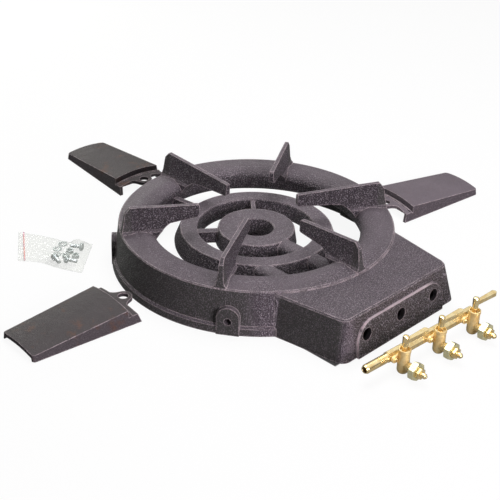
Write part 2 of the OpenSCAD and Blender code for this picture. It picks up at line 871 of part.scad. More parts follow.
// Bag: a pillow of thin film, full over the bolts and nearly flat towards the zip
seam = 3;
bag_cols = 10;
bag_rows = 12;
edge_t = 3 * film;
function rise(t) = t <= 0 ? 0 : t >= 1 ? 1 : sin(90 * t);
function bag_swell(u, v) =
    rise((1 - abs(u)) * bag_w / 2 / 9)
    * rise((1 + v) * bag_l / 2 / 9)
    * (1 - 0.9 * rise((v - 0.05) / 0.5));
function bag_top(u, v) = edge_t + (bag_h - edge_t) * bag_swell(u, v);
bag_lean = 15.5;
bag_skew = 4.5;
module pillow(inset) {
    across = bag_w / 2 - inset;
    along = bag_l / 2 - inset;
    lift = inset > 0 ? film : 0;
    row = bag_cols + 1;
    layer = row * (bag_rows + 1);
    points = [for (top = [0, 1]) for (j = [0:bag_rows]) for (i = [0:bag_cols])
        let(u = 2 * i / bag_cols - 1, v = 2 * j / bag_rows - 1)
            [u * across + v * bag_lean, v * (along + u * bag_skew),
             top == 0 ? lift : bag_top(u, v) - lift]];
    floor_faces = [for (j = [0:bag_rows - 1]) for (i = [0:bag_cols - 1]) let(a = j * row + i)
        each [[a, a + 1, a + row], [a + 1, a + row + 1, a + row]]];
    top_faces = [for (f = floor_faces) [f[0] + layer, f[2] + layer, f[1] + layer]];
    rim = concat([for (i = [0:bag_cols - 1]) i],
                 [for (j = [0:bag_rows - 1]) j * row + bag_cols],
                 [for (i = [bag_cols:-1:1]) bag_rows * row + i],
                 [for (j = [bag_rows:-1:1]) j * row]);
    side_faces = [for (k = [0:len(rim) - 1]) let(a = rim[k], b = rim[(k + 1) % len(rim)])
        each [[a, a + layer, b], [b, a + layer, b + layer]]];
    polyhedron(points, concat(floor_faces, top_faces, side_faces));
}
module bolt_bag() {
    color(clear_film)
        placed(bag_at)
            difference() {
                pillow(0);
                pillow(seam);
            }
}
zip_w = 2.4;
zip_t = 1.2;
zip_row = 0.78;
module bag_zip() {
    half = bag_w / 2 - 1.5;
    color(pink)
        placed(bag_at)
            translate([zip_row * bag_lean, zip_row * bag_l / 2, bag_top(0, zip_row - 0.1) + 0.1])
                linear_extrude(zip_t)
                    polygon([[-half, -zip_row * bag_skew],
                             [half, zip_row * bag_skew],
                             [half, zip_row * bag_skew + zip_w],
                             [-half, zip_w - zip_row * bag_skew]]);
}

// Bolts, nuts and washers lying in the bag: across, along and turn
bolt_head_af = bolt_d * 1.625;
bolt_head_t = bolt_d * 0.66;
nut_hole = bolt_d + 0.4;
lay_z = film + 0.2;
bolt_places = [[5, -42, 75], [-21, -4.5, 208], [-28, -20, 250]];
nut_places = [[-14, -20], [-14, -33], [-1, -24]];
washer_places = [[8, -6], [-8, -6], [22, -12]];
module in_bag(at) { placed(bag_at) translate([at[0], at[1], lay_z]) children(); }
module leg_bolt(index) {
    at = bolt_places[index];
    color(zinc)
        in_bag(at)
            translate([0, 0, bolt_head_af / 2 / cos(30)])
                rotate([0, 0, at[2]])
                    rotate([0, 90, 0]) {
                        linear_extrude(bolt_head_t) hexagon(bolt_head_af);
                        cylinder(d = bolt_d, h = bolt_head_t + bolt_len - 1);
                        translate([0, 0, bolt_head_t + bolt_len - 1])
                            cylinder(d1 = bolt_d, d2 = bolt_d - 2, h = 1);
                    }
}
module leg_nut(index) {
    color(zinc)
        in_bag(nut_places[index])
            linear_extrude(bolt_d * 0.8)
                difference() {
                    hexagon(bolt_head_af);
                    circle(d = nut_hole);
                }
}
module leg_washer(index) {
    color(zinc)
        in_bag(washer_places[index])
            linear_extrude(bolt_d * 0.2)
                difference() {
                    circle(d = bolt_d * 2.1);
                    circle(d = nut_hole);
                }
}
module leg_bolt_a() { leg_bolt(0); }
module leg_bolt_b() { leg_bolt(1); }
module leg_bolt_c() { leg_bolt(2); }
module leg_nut_a() { leg_nut(0); }
module leg_nut_b() { leg_nut(1); }
module leg_nut_c() { leg_nut(2); }
module leg_washer_a() { leg_washer(0); }
module leg_washer_b() { leg_washer(1); }
module leg_washer_c() { leg_washer(2); }

stove_casting();
leg_left();
leg_back();
leg_right();
manifold_bar();
hose_tail();
tap_body_left();
tap_body_middle();
tap_body_right();
tap_key_left();
tap_key_middle();
tap_key_right();
gland_left();
gland_middle();
gland_right();
flange_screws_left();
flange_screws_middle();
flange_screws_right();
lock_nut_left();
lock_nut_middle();
lock_nut_right();
jet_left();
jet_middle();
jet_right();
bolt_bag();
bag_zip();
leg_bolt_a();
leg_bolt_b();
leg_bolt_c();
leg_nut_a();
leg_nut_b();
leg_nut_c();
leg_washer_a();
leg_washer_b();
leg_washer_c();
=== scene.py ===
"""Looks of a cast iron gas stove kit: hammer-coated castings, a brass manifold and a bag of leg bolts.

Laid out as a Blender add-on and run as a script. Metres, +Z up, origin on the rings' axis at the floor.
"""

import math
from functools import reduce
from operator import mul

import bmesh
import bpy
from mathutils import Matrix, Vector, noise


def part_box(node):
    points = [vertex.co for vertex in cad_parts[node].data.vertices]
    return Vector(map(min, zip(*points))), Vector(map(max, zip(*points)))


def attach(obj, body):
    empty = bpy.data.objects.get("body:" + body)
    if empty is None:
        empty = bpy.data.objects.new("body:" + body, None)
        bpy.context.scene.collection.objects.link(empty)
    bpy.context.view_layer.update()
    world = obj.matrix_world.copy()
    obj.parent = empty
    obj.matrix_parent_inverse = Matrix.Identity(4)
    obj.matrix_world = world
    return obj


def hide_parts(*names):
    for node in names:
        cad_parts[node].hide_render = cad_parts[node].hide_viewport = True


bl_info = {
    "name": "Cast iron gas stove kit",
    "version": (1, 0, 0),
    "blender": (4, 5, 0),
    "location": "3D View > Sidebar > Gas stove",
    "description": "Dresses the packed gas stove, its legs, manifold and bag of bolts",
    "category": "Object",
}

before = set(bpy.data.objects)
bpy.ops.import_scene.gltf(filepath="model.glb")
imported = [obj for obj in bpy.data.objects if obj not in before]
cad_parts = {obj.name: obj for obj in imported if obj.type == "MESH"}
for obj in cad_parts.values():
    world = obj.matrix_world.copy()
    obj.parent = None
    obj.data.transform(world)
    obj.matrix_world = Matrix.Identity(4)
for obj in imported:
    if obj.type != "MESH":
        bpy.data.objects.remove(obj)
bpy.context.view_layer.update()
MM = 0.001
SIDES = ("left", "middle", "right")
ROOT = "kit"

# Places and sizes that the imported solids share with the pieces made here, in millimetres
MANIFOLD = Matrix.Translation((1.49, -318.29, 0)) @ Matrix.Rotation(math.radians(-3), 4, "Z")
BAG = Matrix.Translation((-198.797, 202.806, 0)) @ Matrix.Rotation(math.radians(46.6), 4, "Z")
TAP_PITCH = 67
OUTLET_Z = 12.5
OUTLET_R = 5.7
NUT_FROM, NUT_TO, NUT_AF = 15.8, 24.4, 21.4
BAG_HALF_W, BAG_HALF_L, BAG_LEAN, BAG_SKEW = 41.25, 50.25, 15.5, 4.5
ZIP_ROW = 0.78

# Hexagons and threads, in millimetres
CHAMFER = math.radians(30)
EDGE_BAND = 0.01
SHARP_HEXAGON, SHARP_ZIP = 25, 40
NUT_STEPS, BOLT_STEPS, THREAD_STEPS = 96, 72, 40
OUTLET_THREAD_BEHIND, OUTLET_THREAD_BEYOND = 0.5, -0.62
OUTLET_THREAD_DEPTH, OUTLET_THREAD_TURNS = 0.35, 2
BOLT_THREAD_DEPTH, BOLT_THREAD_FROM, BOLT_THREAD_SHARE = 0.5, 0.2, 0.78
THREAD_INSET = 0.02

# The leg bolts in millimetres, and where each lies on the bag: across, along and its turn in degrees
BOLT_HEAD_AF, BOLT_HEAD_T, BOLT_SHANK_R, BOLT_LENGTH = 9.75, 3.96, 3.0, 14.0
BOLTS_AT = {"a": (5, -42, 75), "b": (-21, -4.5, 208), "c": (-28, -20, 250)}

# The film in millimetres: its grid, its rim's inset, the waist of its two sides, its heights, and how it
# rises from its seams and falls away from the hardware
FILM_COLS, FILM_ROWS = 64, 78
FILM_INSET = 0.4
WAIST_PULL, WAIST_LENGTH, WAIST_RIGHT, WAIST_LEFT = 7, 0.5, -0.37, 0.34
FILM_BELOW, FILM_RIM, FILM_LEAST, FILM_MOST = 0.25, 0.55, 0.9, 14.2
FILM_SLACK, FILM_BELLY, FILM_OVER_HARD = 1.4, 2.6, 0.5
SEAM_RISE_ACROSS, SEAM_RISE_ALONG = 4.2, 5.2
TENT_SLOPE, TENT_CURVE = 0.75, 0.01

# The zip in millimetres: its steps, its profile across and up, its ends' inset and its tilt
ZIP_STEPS = 60
ZIP_PROFILE = [(-1, 0), (-1, 0.75), (-0.7, 1.1), (-0.3, 0.8), (0.3, 0.8), (0.7, 1.1), (1, 0.75), (1, 0)]
ZIP_END, ZIP_TILT = 2, 1.8
ZIP_LIFT, ZIP_WAVE, ZIP_WAVES = 0.02, 0.12, 9

# The box front leans: its plane is y = FRONT_LEAN * z - FRONT_Y, and "proud" is the distance before it
FRONT_LEAN, FRONT_Y = 0.107, 0.257

# Zones of the stove's coat. Each band names a measure, where its mask is 0 and where it is 1, in metres,
# square metres for "across" and "radius", or as part of the normal for "facing" and "up".
ZONES = {
    "outside": [("radius", 0.0296, 0.0317)],
    "level": [("up", 0.35, 0.85)],
    "box": [("y", -0.160, -0.175)],
    "front": [("proud", -0.0016, -0.0006)],
    # Where the box's corner and the skirt beside it get a painted highlight and rougher grain
    "corner": [("x", -0.083, -0.093), ("y", -0.244, -0.252)],
    "joint": [("x", -0.152, -0.130), ("x", -0.106, -0.114), ("y", -0.110, -0.134), ("y", -0.158, -0.150)],
    # The front panel's ledge, which gets a painted highlight
    "ledge": [("proud", 0.0002, 0.0006), ("proud", 0.0043, 0.0039), ("facing", -0.8, -0.5),
              ("x", 0.078, 0.05)],
    "ledge_top": [("z", 0.036, 0.040)],
    "ledge_end": [("x", -0.076, -0.080)],
    # The gas holes' bores, which get painted shade
    "bore": [("proud", 0.0036, 0.0026), ("across", 0.0059, 0.0057), ("y", -0.15, -0.17),
             ("z", 0.0385, 0.0375), ("z", 0.019, 0.020)],
}
# The floor under the hollow box, which is seen through its gas holes and is kept dark to the camera there as
# painted shade
UNDER_BOX = [("across", 0.0137, 0.0133), ("y", -0.165, -0.175), ("y", -0.252, -0.249)]

# Colours that belong to one zone or wear. The skirt, flange and front colours are painted light and shade on
# those walls, not colours of the coat
SKIRT_SHADE_AND_REFLECTION = (0.062, 0.061, 0.056)
FLANGE_PAINTED_LIGHT = (0.105, 0.086, 0.098)
FRONT_PAINTED_LIGHT = (0.100, 0.088, 0.082)
RUST = (0.14, 0.065, 0.038)
BRASS_TARNISH = (0.84, 0.74, 0.58)
NUT_TARNISH = (0.84, 0.80, 0.46)
ZINC_BRIGHT, ZINC_DULL = (0.86, 0.90, 0.90), (0.50, 0.56, 0.56)
FILM_CLEAR, FILM_CLOUDY = (0.74, 0.79, 0.70), (0.88, 0.92, 0.85)
ZIP_FADED = (0.62, 0.38, 0.48)
WHITE = (1, 1, 1)

# Softboxes: place, aim, size, setting, share of that setting, colour
LAMPS = {
    "overhead": ((0.25, 0.2, 1.5), (0, 0, 0), (1.1, 1.1), "overhead", 1, (1, 0.985, 0.99)),
    "front": ((-0.51, -2.03, 0.68), (0, -0.1, 0.03), (0.9, 0.7), "side", 5, (1, 0.93, 1)),
    "back": ((0.24, 1.60, 0.34), (-0.1, 0.05, 0.03), (0.8, 0.4), "side", 1.1, (0.97, 1, 0.92)),
}
CAMERA_AIM = Vector((-0.02758, -0.01558, 0.030))
CAMERA_TURN, CAMERA_LIFT, CAMERA_ROLL = (math.radians(angle) for angle in (-46.46, 30.03, 1.94))
FLOOR_HALF, FLOOR_DROP = 6, 0.0004
FLOOR_DARK, FLOOR_LIGHT, FLOOR_SEEN = (0.09,) * 3, (0.10,) * 3, (0.9,) * 3


# ---------------------------------------------------------------- settings
class CoatSettings(bpy.types.PropertyGroup):
    """Colours and texture of the castings' hammer coat."""

    colour: bpy.props.FloatVectorProperty(
        name="Coat", description="Colour of the coat", subtype="COLOR", size=3, min=0, max=1,
        default=(0.125, 0.105, 0.120))
    leg_colour: bpy.props.FloatVectorProperty(
        name="Leg coat", description="Colour of the legs' smoother coat", subtype="COLOR", size=3,
        min=0, max=1, default=(0.055, 0.048, 0.049))
    # Colour of the rubbed edges, also used as a painted highlight on every edge and, lightened, as the
    # painted highlight on the front panel's ledge
    wear_and_highlight: bpy.props.FloatVectorProperty(
        name="Worn edge", description="Colour of the rubbed edges", subtype="COLOR", size=3, min=0, max=1,
        default=(0.62, 0.52, 0.54))
    grain: bpy.props.FloatProperty(
        name="Grain", description="Size of the coat's orange peel", default=0.0017, min=0.0008, max=0.006,
        unit="LENGTH")
    depth: bpy.props.FloatProperty(
        name="Depth", description="Depth of the orange peel", default=0.0030, min=0, max=0.006, unit="LENGTH")
    edge: bpy.props.FloatProperty(
        name="Edge radius", description="Rounding of the cast edges", default=0.0018, min=0, max=0.004,
        unit="LENGTH")


class BrassSettings(bpy.types.PropertyGroup):
    """Colours of the manifold's brass."""

    polished: bpy.props.FloatVectorProperty(
        name="Polished", description="Turned and polished brass", subtype="COLOR", size=3, min=0, max=1,
        default=(1.0, 0.83, 0.46))
    cast: bpy.props.FloatVectorProperty(
        name="Sand cast", description="Matt brass of the tap bodies", subtype="COLOR", size=3, min=0, max=1,
        default=(0.93, 0.75, 0.39))
    pale: bpy.props.FloatVectorProperty(
        name="Nuts", description="Pale brass of the lock nuts", subtype="COLOR", size=3, min=0, max=1,
        default=(1.0, 0.95, 0.60))


class BagSettings(bpy.types.PropertyGroup):
    """Shape and colours of the bag of bolts."""

    film_alpha: bpy.props.FloatProperty(
        name="Cloudiness", description="How much of the film hides what is in it", default=0.17,
        min=0.05, max=1, subtype="FACTOR")
    wrinkle: bpy.props.FloatProperty(
        name="Wrinkles", description="Height of the film's wrinkles", default=0.0011, min=0, max=0.003,
        unit="LENGTH")
    zip_colour: bpy.props.FloatVectorProperty(
        name="Zip", description="Colour of the zip strip", subtype="COLOR", size=3, min=0, max=1,
        default=(0.80, 0.40, 0.36))
    bolt_pitch: bpy.props.FloatProperty(
        name="Bolt pitch", description="Pitch of the bolts' threads", default=0.001, min=0.0005, max=0.002,
        unit="LENGTH")


class StageSettings(bpy.types.PropertyGroup):
    """Lamps and camera."""

    overhead: bpy.props.FloatProperty(
        name="Overhead", description="Power of the overhead softbox", default=22, min=0, unit="POWER")
    side: bpy.props.FloatProperty(
        name="Side", description="Power that the front and back softboxes go by", default=8, min=0,
        unit="POWER")
    lens: bpy.props.FloatProperty(
        name="Lens", description="Focal length in millimetres", default=89.49, min=20, max=200)
    distance: bpy.props.FloatProperty(
        name="Distance", description="Camera to target", default=1.70418, min=0.5, unit="LENGTH")


# ---------------------------------------------------------------- shader helpers
class Value:
    """A shader value with Python's operators, each of which adds a Math node."""

    def __init__(self, nodes, socket):
        self.nodes = nodes
        self.socket = socket

    def maths(self, operation, one, two):
        return self.nodes.add("ShaderNodeMath", {"operation": operation}, {0: one, 1: two})

    def __add__(self, other):
        return self.maths("ADD", self, other)

    __radd__ = __add__

    def __mul__(self, other):
        return self.maths("MULTIPLY", self, other)

    __rmul__ = __mul__

    def __sub__(self, other):
        return self.maths("SUBTRACT", self, other)

    def __rsub__(self, other):
        return self.maths("SUBTRACT", other, self)

    def most(self, other):
        return self.maths("MAXIMUM", self, other)

    def ramp(self, low, high):
        """Rises smoothly from 0 at low to 1 at high, which may be the smaller one."""
        return self.nodes.add(
            "ShaderNodeMapRange", {"interpolation_type": "SMOOTHSTEP"},
            {"Value": self, "From Min": low, "From Max": high})


class Finish:
    """The node tree of a material or a world; add() makes every node that isn't plain maths."""

    def __init__(self, name, kind="materials"):
        self.made = getattr(bpy.data, kind).new(name)
        self.made.use_nodes = True
        self.tree = self.made.node_tree
        self.tree.nodes.clear()

    def add(self, kind, settings=None, inputs=None, output=0):
        node = self.tree.nodes.new(kind)
        for key, value in (settings or {}).items():
            setattr(node, key, value)
        for key, value in (inputs or {}).items():
            socket = node.inputs[key]
            if isinstance(value, Value):
                self.tree.links.new(value.socket, socket)
            elif socket.type == "RGBA":
                socket.default_value = (*value, 1)
            else:
                socket.default_value = value
        return Value(self, node.outputs[output]) if node.outputs else None

    def place(self, output="Object"):
        """The point that is shaded, or its normal, on the piece's own axes."""
        return self.add("ShaderNodeTexCoord", output=output)

    def part(self, output, axis):
        """One coordinate of a place, or of a normal."""
        return self.add("ShaderNodeSeparateXYZ", None, {0: self.place(output)}, axis)

    def ray(self, kind):
        """1 for rays of this kind."""
        return self.add("ShaderNodeLightPath", output=f"Is {kind} Ray")

    def noise(self, size, detail=2.0, rough=0.5, warp=0.0):
        """Noise with features of about size metres."""
        return self.add(
            "ShaderNodeTexNoise", {"noise_dimensions": "3D"},
            {"Vector": self.place(), "Scale": 1 / size, "Detail": detail, "Roughness": rough,
             "Distortion": warp})

    def mix(self, factor, one, two):
        """A colour between two, by the factor."""
        return self.add("ShaderNodeMix", {"data_type": "RGBA"}, {0: factor, 6: one, 7: two}, 2)

    def bump(self, height, depth, normal=None):
        inputs = {"Height": height, "Distance": depth}
        if normal is not None:
            inputs["Normal"] = normal
        return self.add("ShaderNodeBump", None, inputs)

    def rounded(self, radius):
        """The normal of the face with its edges rounded."""
        return self.add("ShaderNodeBevel", {"samples": 6}, {"Radius": radius})

    def edges(self, radius, low, high):
        """1 on the outer and inner edges, 0 on open faces."""
        bend = self.add(
            "ShaderNodeVectorMath", {"operation": "DOT_PRODUCT"},
            {0: self.rounded(radius), 1: self.add("ShaderNodeNewGeometry", output="Normal")}, "Value")
        return (1 - bend).ramp(low, high)

    def surface(self, shader):
        self.add("ShaderNodeOutputMaterial", None, {"Surface": shader})
        return self.made

    def principled(self, **inputs):
        names = {key.replace("_", " ").title().replace("Ior", "IOR"): value for key, value in inputs.items()}
        return self.surface(self.add("ShaderNodeBsdfPrincipled", None, names))


def zone(measures, bands):
    """1 where every band of the zone is 1."""
    return reduce(mul, (measures[name].ramp(low, high) for name, low, high in bands))


def tone(colour, factor, lift=0.0):
    """A lighter or darker colour."""
    return [min(1, part * factor + lift) for part in colour]


# ---------------------------------------------------------------- object and mesh helpers
def add_piece(name, data):
    """A new object in the scene, at the origin, around a mesh, a lamp or a camera."""
    piece = bpy.data.objects.new(name, data)
    bpy.context.scene.collection.objects.link(piece)
    return piece


def smooth_mesh(name, verts, faces, place):
    """A mesh object in metres from points in millimetres, with its normals made to point outwards."""
    mesh = bpy.data.meshes.new(name)
    mesh.from_pydata([(place @ Vector(v)) * MM for v in verts], [], faces)
    form = bmesh.new()
    form.from_mesh(mesh)
    bmesh.ops.remove_doubles(form, verts=form.verts, dist=1e-7)
    bmesh.ops.recalc_face_normals(form, faces=form.faces)
    form.to_mesh(mesh)
    form.free()
    mesh.polygons.foreach_set("use_smooth", [True] * len(mesh.polygons))
    return add_piece(name, mesh)


def turned(name, outline, steps, place, closed):
    """A turned form: outline(angle) gives its (radius, height) points, joined in a ring where closed."""
    verts, faces = [], []
    rings = [outline(2 * math.pi * k / steps) for k in range(steps)]
    count = len(rings[0])
    for k, ring in enumerate(rings):
        angle = 2 * math.pi * k / steps
        verts += [(r * math.cos(angle), r * math.sin(angle), z) for r, z in ring]
    for k in range(steps):
        a, b = k * count, (k + 1) % steps * count
        for i in range(count if closed else count - 1):
            j = (i + 1) % count
            faces.append((a + i, b + i, b + j, a + j))
    return smooth_mesh(name, verts, faces, place)


def hexagon(angle, across, crown):
    """A hexagon's radius at an angle, and how far its chamfer drops there from the round crown."""
    reach = across / 2 / math.cos((angle + math.pi / 6) % (math.pi / 3) - math.pi / 6)
    return reach, max(0.0, reach - crown) * math.tan(CHAMFER)


def sharpen(piece, degrees):
    """Keeps the edges sharper than the angle and smooths the rest."""
    form = bmesh.new()
    form.from_mesh(piece.data)
    for edge in form.edges:
        if len(edge.link_faces) == 2 and edge.calc_face_angle(0) > math.radians(degrees):
            edge.smooth = False
    form.to_mesh(piece.data)
    form.free()


def dress(piece, material, slot, body, *replaced):
    """Gives a new piece its material and its body, and hides the CAD nodes that it stands for; the slot is
    not used.
    """
    piece.data.materials.clear()
    piece.data.materials.append(material)
    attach(piece, body)
    if replaced:
        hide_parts(*replaced)


def coat(nodes, material):
    """Puts a material on CAD nodes and shades their curved faces smooth."""
    for name in nodes:
        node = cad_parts[name]
        node.data.materials.clear()
        node.data.materials.append(material)
        node.data.polygons.foreach_set("use_smooth", [True] * len(node.data.polygons))


def named(*prefixes):
    """The CAD nodes whose names start with one of these."""
    return [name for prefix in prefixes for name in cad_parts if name.startswith(prefix)]


# ---------------------------------------------------------------- geometry nodes
class Recipe:
    """A Geometry Nodes tree with named inputs, built in the script."""

    def __init__(self, name, sizes):
        self.tree = bpy.data.node_groups.new(name, "GeometryNodeTree")
        self.tree.interface.new_socket("Geometry", in_out="OUTPUT", socket_type="NodeSocketGeometry")
        for title, (kind, value) in sizes.items():
            item = self.tree.interface.new_socket(title, in_out="INPUT", socket_type=kind)
            if value is not None:
                item.default_value = value
        self.inlet = self.tree.nodes.new("NodeGroupInput")
        self.outlet = self.tree.nodes.new("NodeGroupOutput")

    def add(self, kind, settings=None, inputs=None):
        node = self.tree.nodes.new(kind)
        for key, value in (settings or {}).items():
            setattr(node, key, value)
        for key, value in (inputs or {}).items():
            if isinstance(value, bpy.types.NodeSocket):
                self.tree.links.new(value, node.inputs[key])
            else:
                node.inputs[key].default_value = value
        return node.outputs[0]

    def size(self, title):
        return self.inlet.outputs[title]

    def maths(self, operation, *values):
        return self.add("ShaderNodeMath", {"operation": operation}, dict(enumerate(values)))

    def finish(self, geometry):
        real = self.add("GeometryNodeRealizeInstances", None, {0: geometry})
        coated = {"Geometry": real, "Material": self.size("Material")}
        done = self.add("GeometryNodeSetMaterial", None, coated)
        self.tree.links.new(done, self.outlet.inputs[0])

    def make(self, name, values):
        """Runs the tree with these inputs and returns the result as a plain mesh object."""
        carrier = add_piece(name + "_carrier", bpy.data.meshes.new(name + "_carrier"))
        modifier = carrier.modifiers.new("Recipe", "NODES")
        modifier.node_group = self.tree
        for item in self.tree.interface.items_tree:
            if item.in_out == "INPUT" and item.name in values:
                modifier[item.identifier] = values[item.name]
        graph = bpy.context.evaluated_depsgraph_get()
        graph.update()
        mesh = bpy.data.meshes.new_from_object(carrier.evaluated_get(graph), depsgraph=graph)
        carrier.modifiers.clear()
        bpy.data.objects.remove(carrier)
        if not len(mesh.polygons):
            raise RuntimeError(f"the recipe for {name} made no faces")
        return add_piece(name, mesh)


def thread_recipe():
    """Rings of thread along a line: one tube whose radius goes down and up, with four points to a ring."""
    recipe = Recipe("Thread", {
        "Start": ("NodeSocketVector", None), "End": ("NodeSocketVector", None),
        "Radius": ("NodeSocketFloat", 0.005), "Depth": ("NodeSocketFloat", 0.0005),
        "Turns": ("NodeSocketInt", 8), "Material": ("NodeSocketMaterial", None)})
    ends = {"Start": recipe.size("Start"), "End": recipe.size("End")}
    line = recipe.add("GeometryNodeCurvePrimitiveLine", None, ends)
    count = recipe.maths("ADD", recipe.maths("MULTIPLY", recipe.size("Turns"), 4.0), 1.0)
    points = recipe.add("GeometryNodeResampleCurve", None, {"Curve": line, "Count": count})
    index = recipe.add("GeometryNodeInputIndex")
    swing = recipe.maths("COSINE", recipe.maths("MULTIPLY", index, math.pi / 2))
    half = recipe.maths("MULTIPLY", recipe.size("Depth"), 0.5)
    groove = recipe.maths("MULTIPLY", recipe.maths("ADD", swing, 1.0), half)
    radius = recipe.maths("SUBTRACT", recipe.size("Radius"), groove)
    profile = {"Resolution": THREAD_STEPS, "Radius": 1.0}
    circle = recipe.add("GeometryNodeCurvePrimitiveCircle", None, profile)
    recipe.finish(recipe.add("GeometryNodeCurveToMesh", None, {
        "Curve": points, "Profile Curve": circle, "Scale": radius, "Fill Caps": True}))
    return recipe


# ---------------------------------------------------------------- finishes
def casting_finish(look, name, colour, rust, smoothness):
    """Coat over cast iron: orange peel that is rougher on the walls, painted light and shade by zone, rubbed
    edges that also carry a painted highlight, and a few rust stains.
    """
    f = Finish(name)
    x, y, z = (f.part("Object", axis) for axis in range(3))
    measures = {"x": x, "y": y, "z": z, "across": x * x, "radius": x * x + y * y,
                "proud": z * FRONT_LEAN - y - FRONT_Y,
                "facing": f.part("Normal", 1), "up": f.part("Normal", 2)}
    mask = {key: zone(measures, bands) for key, bands in ZONES.items()}
    outside, level, bore = mask["outside"], mask["level"], mask["bore"]
    steep = 1 - level
    wall = steep * (1 - smoothness)
    coarse = mask["front"].most(mask["corner"]).most(mask["joint"])
    ledge = mask["ledge"] * mask["ledge_top"].most(mask["ledge_end"])

    # Texture: strong on walls, stronger in the coarse zones, calm on the rings' tops and on the legs
    calm = 0.45 - mask["box"] * 0.35
    rough = (1 - outside * 0.45 * steep).most(coarse * 1.5) * (1 - level * calm)
    rough = rough * (1 - (0.4 + level * 0.8) * smoothness)
    peel = f.noise(look.grain, 3.0, 0.6, 0.2)
    flake = f.noise(look.grain * 0.85, 0.0)
    lump = f.noise(0.011, 2.0, 0.5)
    cloud = f.noise(0.05, 3.0, 0.6)
    height = peel * rough + flake * rough * 0.8 + lump * (0.3 + rough * 0.5)
    normal = f.bump(height, look.depth, f.rounded(look.edge * 0.7))

    # Colour of each zone, with painted shade on the walls and painted light on some of them, then painted
    # shade in the pits between the grains, and the grains that glint
    base = f.mix(cloud.ramp(0.3, 0.7), tone(colour, 0.90), tone(colour, 1.06))
    # Painted shade: steep faces get half the coat's colour, for the light they lack
    base = f.mix(wall, base, tone(colour, 0.50))
    # Painted shade on the outer skirt's walls, tinted olive as a painted reflection
    base = f.mix(outside * wall * (1 - coarse) * 0.8, base, SKIRT_SHADE_AND_REFLECTION)
    # Painted light on the legs' steep faces: one set tone for how they are lit
    base = f.mix(steep * smoothness, base, FLANGE_PAINTED_LIGHT)
    # Painted light on the box front's walls, lighter than the other walls
    base = f.mix(mask["front"] * wall * 0.8, base, FRONT_PAINTED_LIGHT)
    # Painted highlight on the box's front-left corner and the skirt beside the box
    base = f.mix(mask["corner"].most(mask["joint"] * 0.7) * wall * 0.85, base, tone(colour, 2))
    # Painted shade in the low parts of the peel, most on the walls and the box top
    pit_shade = peel.ramp(0.55, 0.35) * rough * (0.5 - level * (0.34 - mask["box"] * 0.5))
    base = f.mix(pit_shade, base, tone(colour, 0.25))
    glint = flake.ramp(0.54, 0.70)
    glint = glint * (rough * (0.56 + level * mask["box"] * 0.2 - outside * 0.14) + coarse * 0.25)
    base = f.mix(glint, base, tone(colour, 3.2, 0.10))

    # Wear and painted light: rust stains, rubbed edges that also carry a painted highlight, painted shade in
    # the bores and a painted highlight on the front panel's ledge
    if rust:
        base = f.mix(f.noise(0.028, 4.0, 0.65).ramp(0.57, 0.72) * rust, base, RUST)
    # The edges are partly rubbed wear and partly a painted highlight
    edge_wear_and_highlight = f.edges(look.edge, 0.006, 0.04) * f.noise(0.004, 3.0, 0.7).ramp(0.30, 0.50)
    edge_wear_and_highlight = edge_wear_and_highlight * (lump.ramp(0.40, 0.60) * 0.5 + 0.5)
    base = f.mix(edge_wear_and_highlight * (1 - 0.45 * smoothness), base, tuple(look.wear_and_highlight))
    # Painted shade: the gas holes' bores are near black
    base = f.mix(bore, base, tone(colour, 0.1))
    # Painted highlight on the top of the front panel's ledge
    base = f.mix(ledge * (peel.ramp(0.3, 0.5) * 0.4 + 0.6), base, tone(look.wear_and_highlight, 1.55))
    return f.principled(
        base_color=base, roughness=0.42 + 0.3 * smoothness + peel * 0.14 - glint * 0.1,
        metallic=glint * (1 - bore) * 0.85, specular_ior_level=0.3, normal=normal)


def brass_finish(name, colour, rough, grain, depth, tint=None, cast=False):
    """Brass, from polished to sand cast, with faint tarnish."""
    f = Finish(name)
    broad = f.noise(0.009, 3.0, 0.6)
    fine = f.noise(grain, 2.0, 0.6)
    base = f.mix(broad.ramp(0.35, 0.7), colour, tint or [c * k for c, k in zip(colour, BRASS_TARNISH)])
    if cast:
        base = f.mix(fine.ramp(0.5, 0.75) * 0.5, base, tone(colour, 0.55))
    normal = f.bump(fine, depth, f.rounded(0.0005))
    base = f.mix(f.edges(0.0004, 0.02, 0.3) * 0.35, base, tone(colour, 1.25, 0.08))
    return f.principled(
        base_color=base, metallic=0.62 if cast else 0.86, roughness=rough + broad * 0.12 + fine * 0.06,
        normal=normal)


def zinc_finish():
    """Zinc plate, bright with duller patches."""
    f = Finish("zinc_plate")
    broad = f.noise(0.004, 3.0, 0.6)
    base = f.mix(broad.ramp(0.3, 0.7), ZINC_BRIGHT, ZINC_DULL)
    normal = f.bump(f.noise(0.0008), 0.00006, f.rounded(0.0004))
    return f.principled(base_color=base, metallic=1.0, roughness=0.16 + broad * 0.24, normal=normal)


def film_finish(look):
    """Clear film, cloudier on its folds."""
    f = Finish("bag_film")
    crease = f.noise(0.007, 4.0, 0.6, 0.8)
    cloud = crease.ramp(0.42, 0.75)
    return f.principled(
        base_color=f.mix(cloud, FILM_CLEAR, FILM_CLOUDY), alpha=look.film_alpha + cloud * 0.14,
        roughness=0.10 + cloud * 0.12, normal=f.bump(crease, 0.0009))


def zip_finish(look):
    """Pink plastic with paler streaks."""
    f = Finish("zip_strip")
    streak = f.noise(0.018).ramp(0.4, 0.6)
    base = f.mix(streak, tuple(look.zip_colour), ZIP_FADED)
    return f.principled(base_color=base, roughness=0.3 + streak * 0.15, normal=f.bump(streak, 0.0001))


# ---------------------------------------------------------------- operators
class STOVE_OT_castings(bpy.types.Operator):
    """Coats the stove casting and its three legs"""

    bl_idname = "stove.castings"
    bl_label = "Castings"

    def execute(self, context):
        look = context.scene.stove_coat
        coat(["stove_casting"], casting_finish(look, "hammer_coat", tuple(look.colour), 0.0, 0.0))
        rusty = casting_finish(look, "leg_coat_rusty", tuple(look.leg_colour), 0.55, 0.6)
        coat(["leg_left", "leg_back"], rusty)
        coat(["leg_right"], casting_finish(look, "leg_coat", tone(look.colour, 1.15), 0.12, 0.6))
        return {"FINISHED"}


